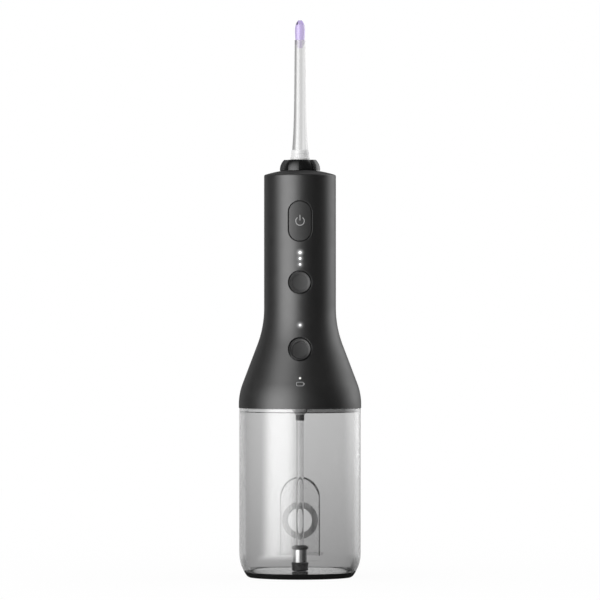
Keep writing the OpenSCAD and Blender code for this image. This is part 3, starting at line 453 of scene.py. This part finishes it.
def see_through(
    name, tint, clearer, roughness, ior, lamp_tint, transmission=1.0, dim=0.5, turn=3, shade=None, thin=None,
    past=None,
):
    """Clear plastic or silicone with faint flow lines; lamps shine through it, tinted.

    It carries painted shade: it is dimmer by dim where it turns edge-on, earlier for a low turn, and where
    shade(shader) says so.
    Its very edge loses its gloss.
    It is nearly clear where thin(shader) says so. Elsewhere a ray that has passed that many clear faces
    goes straight on through it, so its far walls show plainly, without gloss."""
    s = finish(name)
    flow = s.noise(FLOW, s.place(FLOW_STRETCH), detail=2.0)
    colour = s.mix(flow, tint, clearer)
    # Painted shade: darker where the face turns edge-on, and where shade(shader) draws more
    dark = s.rim(turn) * dim
    straight = OPEN_RIM_SHARE * s.rim(OPEN_RIM)
    if past:
        straight = straight.most(s.path("Transmission Depth") > past - 0.5)
    if thin:
        thinned = thin(s)
        colour = s.mix(thinned, colour, grey(CLEAREST))
        straight = straight * (1 - thinned)
    if shade:
        shaded = shade(s)
        dark = dark.most(shaded)
        straight = straight * (1 - shaded)
    body = s.surface(
        Base_Color=s.mix(dark, colour, grey(DARKEST, tint)),
        Roughness=roughness * FLOW_MATT + roughness * flow + CLEAR_RIM_MATT * s.rim(CLEAR_RIM), IOR=ior,
        Transmission_Weight=transmission, Normal=s.soft_edges(CLEAR_EDGE), Coat_Weight=CLEAR_COAT)
    open_way = s.node("ShaderNodeBsdfTransparent", {}, {"Color": (*lamp_tint, 1)})
    straight = straight.most(s.path("Is Shadow Ray"))
    return s.done(s.node("ShaderNodeMixShader", {}, {0: straight, 1: body, 2: open_way}))


# The fill door's arch, and the full width of the painted shade line along its edge
door_low, door_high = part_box("fill_door")
DOOR_HALF = (door_high.x - door_low.x) / 2
ARCH_Z = door_high.z - DOOR_HALF
DOOR_SHADE_LINE = 1.3 * MM
# Shares of that width: everywhere, and added on the right, in the arch and in the arch's upper right
LINE_ALL, LINE_RIGHT, LINE_ARCH, LINE_CORNER = 0.3, 0.2, 0.4, 0.3
# Where the shares of arch and corner set in, in half widths, and how soft the line's inner side is
ARCH_FROM, ARCH_FULL = 0, 0.4
CORNER_FROM, CORNER_FULL = 0.75, 0.95
LINE_SOFT = 0.7
DIAGONAL = 0.7


def door_edge_painted_shade(s):
    """Painted shade along the door's rounded edge in the clear wall: a line along the arch, widest at its
    upper right, away from the light.

    The way to the edge is half width - sqrt(x^2 + max(z - arch, 0)^2), and the way towards the upper
    right is about (x + z - arch) / sqrt(2)."""
    x, _, z = s.parts(s.place())
    above = (z - ARCH_Z).most(0)
    inward = DOOR_HALF - (x * x + above * above) ** 0.5
    arched = s.step(above / DOOR_HALF, ARCH_FROM, ARCH_FULL)
    corner = s.step(DIAGONAL * (x + above) / DOOR_HALF, CORNER_FROM, CORNER_FULL)
    width = LINE_ALL + LINE_RIGHT * (x > 0) + LINE_ARCH * arched + LINE_CORNER * corner
    return 1 - s.step(inward / (width * DOOR_SHADE_LINE), LINE_SOFT, 1.0)


# The jet slits in the tip: their depth and half width, where their painted shade sets in, and that painted
# shade right and left
TIP_TOP, SLIT_H, SLIT_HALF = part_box("nozzle_tip")[1].z, 2.6 * MM, 0.5 * MM
SLIT_SPARE, SLIT_DIM, SLIT_DARK = 0.1 * MM, 0.6 * MM, 1.6 * MM
SLIT_RIGHT, SLIT_LEFT_MORE = 0.15, 0.7


def jet_slit_painted_shade(s):
    """Painted shade in the two crossed slits in the tip's top, dark deep inside: |x - y| or |x + y| below a
    slit's width.

    Light comes through the soft tip from behind on the right, so the painted shade is darker to the left."""
    x, y, z = s.parts(s.place())
    across = (x - y).size().least((x + y).size()) / math.sqrt(2)
    deep = s.step(TIP_TOP - z, SLIT_DIM, SLIT_DARK) * (z > TIP_TOP - SLIT_H - SLIT_SPARE)
    return (across < SLIT_HALF) * deep * (SLIT_RIGHT + SLIT_LEFT_MORE * (x < 0))


# The gasket's painted shade, what is added to its right, and where that sets in along x
GASKET_SHADE, GASKET_MORE, GASKET_FROM, GASKET_FULL = 0.2, 0.28, 2 * MM, 8 * MM


def gasket_painted_shade(s):
    """Painted shade on the gasket in the door, darker to the right, away from the light."""
    return GASKET_SHADE + GASKET_MORE * s.step(s.parts(s.place())[0], GASKET_FROM, GASKET_FULL)


# The step in the reservoir's neck: its painted shade, and its soft limits in height, to the left and to the
# back
NECK_SHADE, NECK_LOW, NECK_HIGH = 0.75, 89.3 * MM, 90.0 * MM
NECK_LEFT_FROM, NECK_LEFT_FULL = 1 * MM, 4 * MM
NECK_BACK_FROM, NECK_BACK_FULL = -8 * MM, 8 * MM


def neck_step_painted_shade(s):
    """Painted shade at the step in the reservoir's neck, dark on its right front, away from the light."""
    x, y, z = s.parts(s.place())
    ring = s.step(z, NECK_LOW, NECK_HIGH)
    front = 1 - s.step(y, NECK_BACK_FROM, NECK_BACK_FULL)
    return NECK_SHADE * ring * s.step(x, NECK_LEFT_FROM, NECK_LEFT_FULL) * front


CLEAR_FLOOR_TOP = 2.75 * MM


def clear_floor(s):
    """The reservoir's floor, thin and nearly clear."""
    return s.parts(s.place())[2] < CLEAR_FLOOR_TOP


# The lights' heights and the reach of their glow, in mm
LIGHTS = {176.0: 1.3, 172.8: 1.1, 169.6: 0.95, 136.9: 1.0, 108.4: 0.9}
# A diffuser's levels unlit and lit, its roughness, and the size and depth of its clouds
DIFFUSER_OFF, DIFFUSER_ON, DIFFUSER_MATT = 0.02, 0.7, 0.25
DIFFUSER_CLOUD, DIFFUSER_VARY = 0.8 * MM, 0.1


def off_middle(x, z, middle):
    """The square of the way from a middle on the front, whose height is in mm: x^2 + (z - middle)^2."""
    return x * x + (z - middle * MM) ** 2


def lit(name, colour, strength):
    """Lit diffusers facing the front: brightest in their middles, fading as (1 - (r / reach)^2)^2."""
    s = finish(name)
    x, _, z = s.parts(s.place())
    off = least_of(off_middle(x, z, middle) / (reach * MM) ** 2 for middle, reach in LIGHTS.items())
    fade = (1 - off).most(0) ** 2
    cloud = s.noise(DIFFUSER_CLOUD)
    glow = fade * (1 - DIFFUSER_VARY + 2 * DIFFUSER_VARY * cloud)
    return s.done(s.surface(
        Base_Color=s.mix(fade, grey(DIFFUSER_OFF), grey(DIFFUSER_ON)),
        Roughness=DIFFUSER_MATT + DIFFUSER_VARY * cloud,
        Emission_Color=s.mix(glow, grey(0), colour), Emission_Strength=strength))


# The heights of the lights whose shine is painted as a glow in the plastic around them, in mm, and how
# strongly
HALOS = {176.0: 0.73, 172.8: 0.43, 169.6: 0.34, 136.9: 0.45}
HALO_R = 1.17 * MM


def lights_painted_glow(s):
    """A painted glow for the lights' shine in the plastic around them: the sum of share * exp(-(r / R)^2), on
    the front.
    """
    x, y, z = s.parts(s.place())
    around = (off_middle(x, z, middle) * (-1 / HALO_R**2) for middle in HALOS)
    return (y < 0) * sum(share * off.exp() for off, share in zip(around, HALOS.values()))


# The round buttons' heights in mm, and the ring around their dish: its inner radius, its width and its slope
ROUND_BUTTONS = (160.0, 124.0)
DISH_R, RING_W, RING_SLOPE = 4.6 * MM, 1.1 * MM, 0.41


def dish_rim(s):
    """How a round button's dish goes on over the ring around it: a steady rise along the ring's width."""
    x, _, z = s.parts(s.place())
    off = least_of(off_middle(x, z, middle) ** 0.5 for middle in ROUND_BUTTONS)
    return RING_SLOPE * (off - DISH_R).most(0).least(RING_W)


# The pale sheet on the foot: its radius at the table, how that grows with height, and where it begins
SHEET_R, SHEET_FLARE, SHEET_LOW, SHEET_LEVEL = 27.1 * MM, 0.9, 0.4 * MM, 0.80
# The rubber's grain, in size, relief, colour and roughness, and its edges
RUBBER_GRAIN, RUBBER_RELIEF, RUBBER_EDGE = 0.4 * MM, 0.01 * MM, 0.2 * MM
RUBBER_DARK, RUBBER_PALE, RUBBER_MATT, RUBBER_VARY = 0.007, 0.010, 0.45, 0.1


def foot_rubber(name):
    """Black matt rubber whose upper face, under the reservoir's clear floor, is backed with a pale sheet."""
    s = finish(name)
    x, y, z = s.parts(s.place())
    backed = ((x * x + y * y) ** 0.5 - SHEET_FLARE * z < SHEET_R) * (z > SHEET_LOW)
    grain = s.noise(RUBBER_GRAIN, detail=1.0)
    rubber = s.mix(grain, grey(RUBBER_DARK), grey(RUBBER_PALE))
    tint = s.mix(backed, rubber, grey(SHEET_LEVEL))
    normal = s.bump(grain, RUBBER_RELIEF, normal=s.soft_edges(RUBBER_EDGE))
    return s.done(s.surface(Base_Color=tint, Roughness=RUBBER_MATT + RUBBER_VARY * grain, Normal=normal))


# The circuit board's tracks: their spacing, half width in shares of the pattern, height, greens and gloss
TRACK_SPACING, TRACK_HALF, TRACK_RISE = 1.6 * MM, 0.02, 0.03 * MM
MASK_GREEN, TRACK_GREEN = (0.012, 0.075, 0.035), (0.03, 0.16, 0.075)
MASK_MATT, TRACK_GLOSS = 0.35, 0.1
ALONG_Z, ALONG_X = (1, 1, 0.1), (0.1, 1, 1)


def circuit(name):
    """Green solder mask over copper tracks: lines from two stretched noises, slightly raised."""
    s = finish(name)
    patterns = [s.noise(TRACK_SPACING, s.place(way), detail=0.0) for way in (ALONG_Z, ALONG_X)]
    upright, level = ((pattern - 0.5).size() < TRACK_HALF for pattern in patterns)
    track = upright.most(level)
    return s.done(s.surface(
        Base_Color=s.mix(track, MASK_GREEN, TRACK_GREEN), Roughness=MASK_MATT - TRACK_GLOSS * track,
        Normal=s.bump(track, TRACK_RISE)))


# Clear pieces: tint and clearer streaks, roughness, refraction, what is left of a lamp's light, what passes
# The neck, the door's edge, the gasket and the tip's slits carry painted shade, and most clear pieces painted
# shade at their edges
see_through(
    "smoky_clear", grey(0.74), grey(0.77), 0.02, 1.49, grey(0.86), dim=0.62, shade=neck_step_painted_shade,
    thin=clear_floor, past=2)
see_through("pale_clear", grey(0.93), grey(0.96), 0.03, 1.49, grey(0.95), shade=door_edge_painted_shade, past=2)
see_through("hinge_clear", grey(0.95), grey(0.97), 0.05, 1.15, grey(0.97), dim=0.0, past=1)
see_through("clear_plastic", grey(0.80), grey(0.84), 0.03, 1.49, grey(0.90), dim=0.9, turn=1.4, past=1)
see_through("frosted_silicone", grey(0.80), grey(0.86), 0.30, 1.41, grey(0.85), 0.6, shade=gasket_painted_shade)
see_through("clear_silicone", grey(0.95), grey(0.99), 0.12, 1.41, grey(0.95), 0.95, dim=0.8, turn=2, past=3)
see_through(
    "purple_soft", (0.60, 0.48, 0.86), (0.66, 0.55, 0.91), 0.25, 1.41, (0.94, 0.92, 0.97), 0.3, dim=0,
    shade=jet_slit_painted_shade, past=1)

# Moulded pieces: colour and roughness
moulded("white_plastic", grey(0.88), 0.3, vary=0.03)
# The black satin carries a painted glow around the lights
moulded("black_satin", grey(0.010), 0.41, edge=0.45 * MM, gloss=1.0, glow=lights_painted_glow)
moulded("black_button", grey(0.016), 0.40, edge=0.35 * MM, gloss=0.85, relief=dish_rim)
moulded("black_knob", grey(0.008), 0.22, gloss=0.55)
moulded("black_plastic", grey(0.010), 0.32, gloss=0.4)
moulded("dark_plastic", grey(0.045), 0.42)
moulded("grey_plastic", grey(0.42), 0.40)
moulded("natural_plastic", (0.68, 0.66, 0.60), 0.45, vary=0.05)
moulded("black_rubber", grey(0.008), 0.5, grain=RUBBER_GRAIN, depth=RUBBER_RELIEF)
moulded("grey_silicone", grey(0.32), 0.45, vary=0.05)
moulded("red_silicone", (0.50, 0.10, 0.07), 0.45)
moulded("switch_black", grey(0.03), 0.4)
moulded("cell_wrap", (0.05, 0.13, 0.32), 0.28)
moulded("mark_print", grey(0.50), 0.5, vary=0.06)
foot_rubber("foot_rubber")

# Lights: colour and strength
lit("white_light", (0.96, 0.98, 1.0), 1.5)
lit("warm_light", (1.0, 1.0, 0.92), 0.75)
lit("led_white", (0.92, 0.86, 0.62), 0.4)

# Metal pieces: colour, roughness and the way of their lines
polished("steel_pin", grey(0.62), 0.2, SIDEWAYS)
polished("steel_clip", grey(0.55), 0.3)
polished("polished_steel", grey(0.62), 0.12)
polished("zinc_screw", (0.60, 0.61, 0.62), 0.28)
polished("motor_can", grey(0.58), 0.3)
polished("socket_metal", grey(0.60), 0.25, SIDEWAYS)
polished("brass_gear", (0.72, 0.52, 0.20), 0.25)
circuit("board_green")


def dress(piece, material):
    """The piece in that finish alone."""
    piece.data.materials.clear()
    piece.data.materials.append(material)


for subpart in frame["record"]["subparts"]:
    dress(frame["nodes"][subpart["node"]], FINISHES[subpart["material_slot"]])
dress(hose, FINISHES["clear_silicone"])
dress(frame["nodes"]["foot_pad"], FINISHES["foot_rubber"])
dress(frame["nodes"]["door_hinge_pin"], FINISHES["hinge_clear"])
for mark in marks:
    dress(mark, FINISHES["mark_print"])


# Studio: a white ground, two softboxes that show in gloss, and soft lamps for what is matt

# Levels of light: around the boxes in gloss, and on matt faces
DUSK, AMBIENT = 0.05, 0.55
# Each softbox: where its middle stands, in degrees to the right of the camera, its half width and radiance
FRONT_BOX, BACK_BOX, BACKDROP = (-40, 30, 4.0), (126, 28, 1.9), (180, 45, 0.46)
# How the boxes fade upwards
BOX_FADE = 1.2
# Inside clear walls a share of the back box is left, the backdrop is white above the floor, and the floor is
# pale but for a shade on the right
INSIDE_BOX, INSIDE_DROP, INSIDE_FLOOR = 0.03, 2.4, 0.40
INSIDE_SHADE = (70, 40, 1.0)
# The boxes fade in the floor towards the object, the front one by half, over these lengths in metres
FRONT_FADE, BACK_FADE = 0.3, 2.2
FRONT_FADE_SHARE = 0.5
NEVER_ZERO = 1e-6


def softboxes(s, way, height=None):
    """What gloss sees in the direction way: dusk, and boxes that fade out to both sides and upwards.

    L = dusk + (1 - z^2)^1.2 * sum of radiance * exp(-(2 / width^2 * (1 - cos(azimuth - middle)))^2)
    In the floor, way leads from the object to a point, and the sum is taken times height."""
    x, y, z = s.parts(way)
    flat = (x * x + y * y + NEVER_ZERO) ** 0.5
    inside = s.path("Transmission Depth") > 0.5

    def box(middle, width, radiance):
        a, w = math.radians(middle), math.radians(width)
        toward = (x * math.sin(a) - y * math.cos(a)) / flat
        off = (1 - toward) * (2 / w**2)
        return (off * off * -1).exp() * radiance

    front, drop = box(*FRONT_BOX), box(*BACKDROP)
    back = box(*BACK_BOX) * (1 + inside * (INSIDE_BOX - 1))
    if height is None:
        light = front + back + drop * (1 + inside * (INSIDE_DROP - 1))
        return DUSK + light * (1 - (z * z).least(1)) ** BOX_FADE
    front_near, back_near = ((flat * (-1 / fade)).exp() for fade in (FRONT_FADE, BACK_FADE))
    light = front * (1 - FRONT_FADE_SHARE * front_near) + back * (1 - back_near) + drop
    return DUSK + light * height + inside * INSIDE_FLOOR * (1 - box(*INSIDE_SHADE))


def kinds_of_ray(s):
    """Shares of three kinds of ray: from the camera, straight through clear pieces, and by a glossy face."""
    camera, through, glossy = (s.path(f"Is {kind} Ray") for kind in ("Camera", "Transmission", "Glossy"))
    mirrored = s.path("Glossy Depth") > 0.5
    return camera, (through - mirrored).most(0), glossy.most(through) * mirrored


# The ground's right side, seen through clear pieces: how much dimmer it is, and where that sets in
SIDE_DIM, SIDE_FROM, SIDE_FULL = 0.4, 0.12, 0.32


def white_world():
    """White to the eye and through clear pieces, softboxes in gloss, and a plain level for matt faces.

    Through clear pieces its right side is dimmer, which draws the left edge of a clear rod."""
    world = bpy.data.worlds.new("studio")
    scene.world = world
    world.cycles.sampling_method = "NONE"
    s = Shader(world)
    way = s.node("ShaderNodeTexCoord", out="Generated")
    camera, through, gloss = kinds_of_ray(s)
    white = camera + through * (1 - SIDE_DIM * s.step(s.parts(way)[0], SIDE_FROM, SIDE_FULL))
    strength = white + gloss * softboxes(s, way) + (1 - camera - through - gloss).most(0) * AMBIENT
    ground = s.node("ShaderNodeBackground", {}, {"Color": (1, 1, 1, 1), "Strength": strength})
    s.node("ShaderNodeOutputWorld", {}, {"Surface": ground})


# The floor: its half side, its gap under the foot, and the size and levels of its faint clouds
FLOOR_HALF, FLOOR_GAP, FLOOR_CLOUD = 5.0, 0.1 * MM, 0.4
FLOOR_DARK, FLOOR_PALE = 0.82, 0.84
# The faint shadow that the eye sees near the object, and how fast it fades, per metre
SHADOW_SHARE, SHADOW_FALL = 0.06, 7
# The painted shadow that clear pieces see on the floor near the object: how dim it is, and over what length
# that fades
FLOOR_SHADOW_DIM, FLOOR_SHADOW_FADE = 0.45, 1.3
# From where to where the softboxes rise in the floor, off the object's axis
BOXES_FROM, BOXES_FULL = 0.03, 0.14


def pale_floor():
    """A wide pale floor: white to the eye but for a faint shadow near the object.

    Clear pieces see a painted shadow in it, dim towards the object, 1 - dim * exp(-r / fade).
    Gloss sees the softboxes in it."""
    mesh = bpy.data.meshes.new("floor")
    square = FLOOR_HALF * np.array([(-1, -1, 0), (1, -1, 0), (1, 1, 0), (-1, 1, 0)])
    mesh.from_pydata(square - [0, 0, FLOOR_GAP], [], [(0, 1, 2, 3)])
    floor = bpy.data.objects.new("floor", mesh)
    scene.collection.objects.link(floor)
    s = finish("pale_floor")
    where = s.place()
    x, y, _ = s.parts(where)
    r = (x * x + y * y) ** 0.5
    camera, through, gloss = kinds_of_ray(s)
    near = (r * -SHADOW_FALL).exp()
    # A painted shadow on the floor for clear pieces, fading out away from the object
    dim = 1 - (r * (-1 / FLOOR_SHADOW_FADE)).exp() * FLOOR_SHADOW_DIM
    boxes = softboxes(s, where, s.step(r, BOXES_FROM, BOXES_FULL))
    strength = camera + through * dim + gloss * boxes
    white = s.node("ShaderNodeEmission", {}, {"Color": (1, 1, 1, 1), "Strength": strength})
    pale = s.mix(s.noise(FLOOR_CLOUD), grey(FLOOR_DARK), grey(FLOOR_PALE))
    matt = s.node("ShaderNodeBsdfDiffuse", {}, {"Color": pale})
    share = (camera * (1 - near * SHADOW_SHARE) + through + gloss).least(1)
    material = s.done(s.node("ShaderNodeMixShader", {}, {0: share, 1: matt, 2: white}))
    material.cycles.emission_sampling = "NONE"
    dress(floor, material)


LAMP_AIM = np.array([0, 0, 0.15])


def soft_lamp(name, azimuth, height, distance, size, radiance):
    """An area lamp for matt faces, aimed at the object's middle.

    Its azimuth is in degrees to the right of the camera."""
    data = bpy.data.lights.new(name, "AREA")
    data.shape, data.size, data.size_y = "RECTANGLE", *size
    data.energy = radiance * math.pi * size[0] * size[1]
    lamp = bpy.data.objects.new(name, data)
    scene.collection.objects.link(lamp)
    lamp.visible_camera = lamp.visible_glossy = lamp.visible_transmission = False
    a = math.radians(azimuth)
    place = np.array([math.sin(a) * distance, -math.cos(a) * distance, height])
    aim = LAMP_AIM - place
    lamp.location = place
    lamp.rotation_euler = (math.atan2(np.hypot(aim[0], aim[1]), -aim[2]), 0, math.atan2(-aim[0], aim[1]))


white_world()
pale_floor()
soft_lamp("key", azimuth=-50, height=0.40, distance=1.2, size=(0.8, 1.0), radiance=3.0)
soft_lamp("fill", azimuth=120, height=0.50, distance=1.3, size=(0.9, 1.2), radiance=0.8)
soft_lamp("top", azimuth=-10, height=1.6, distance=0.3, size=(0.8, 0.8), radiance=1.0)

# Enough turns for light to pass every clear wall
CLEAR_TURNS, GLOSS_TURNS = 32, 8
scene.cycles.max_bounces = CLEAR_TURNS
scene.cycles.transmission_bounces = CLEAR_TURNS
scene.cycles.glossy_bounces = GLOSS_TURNS
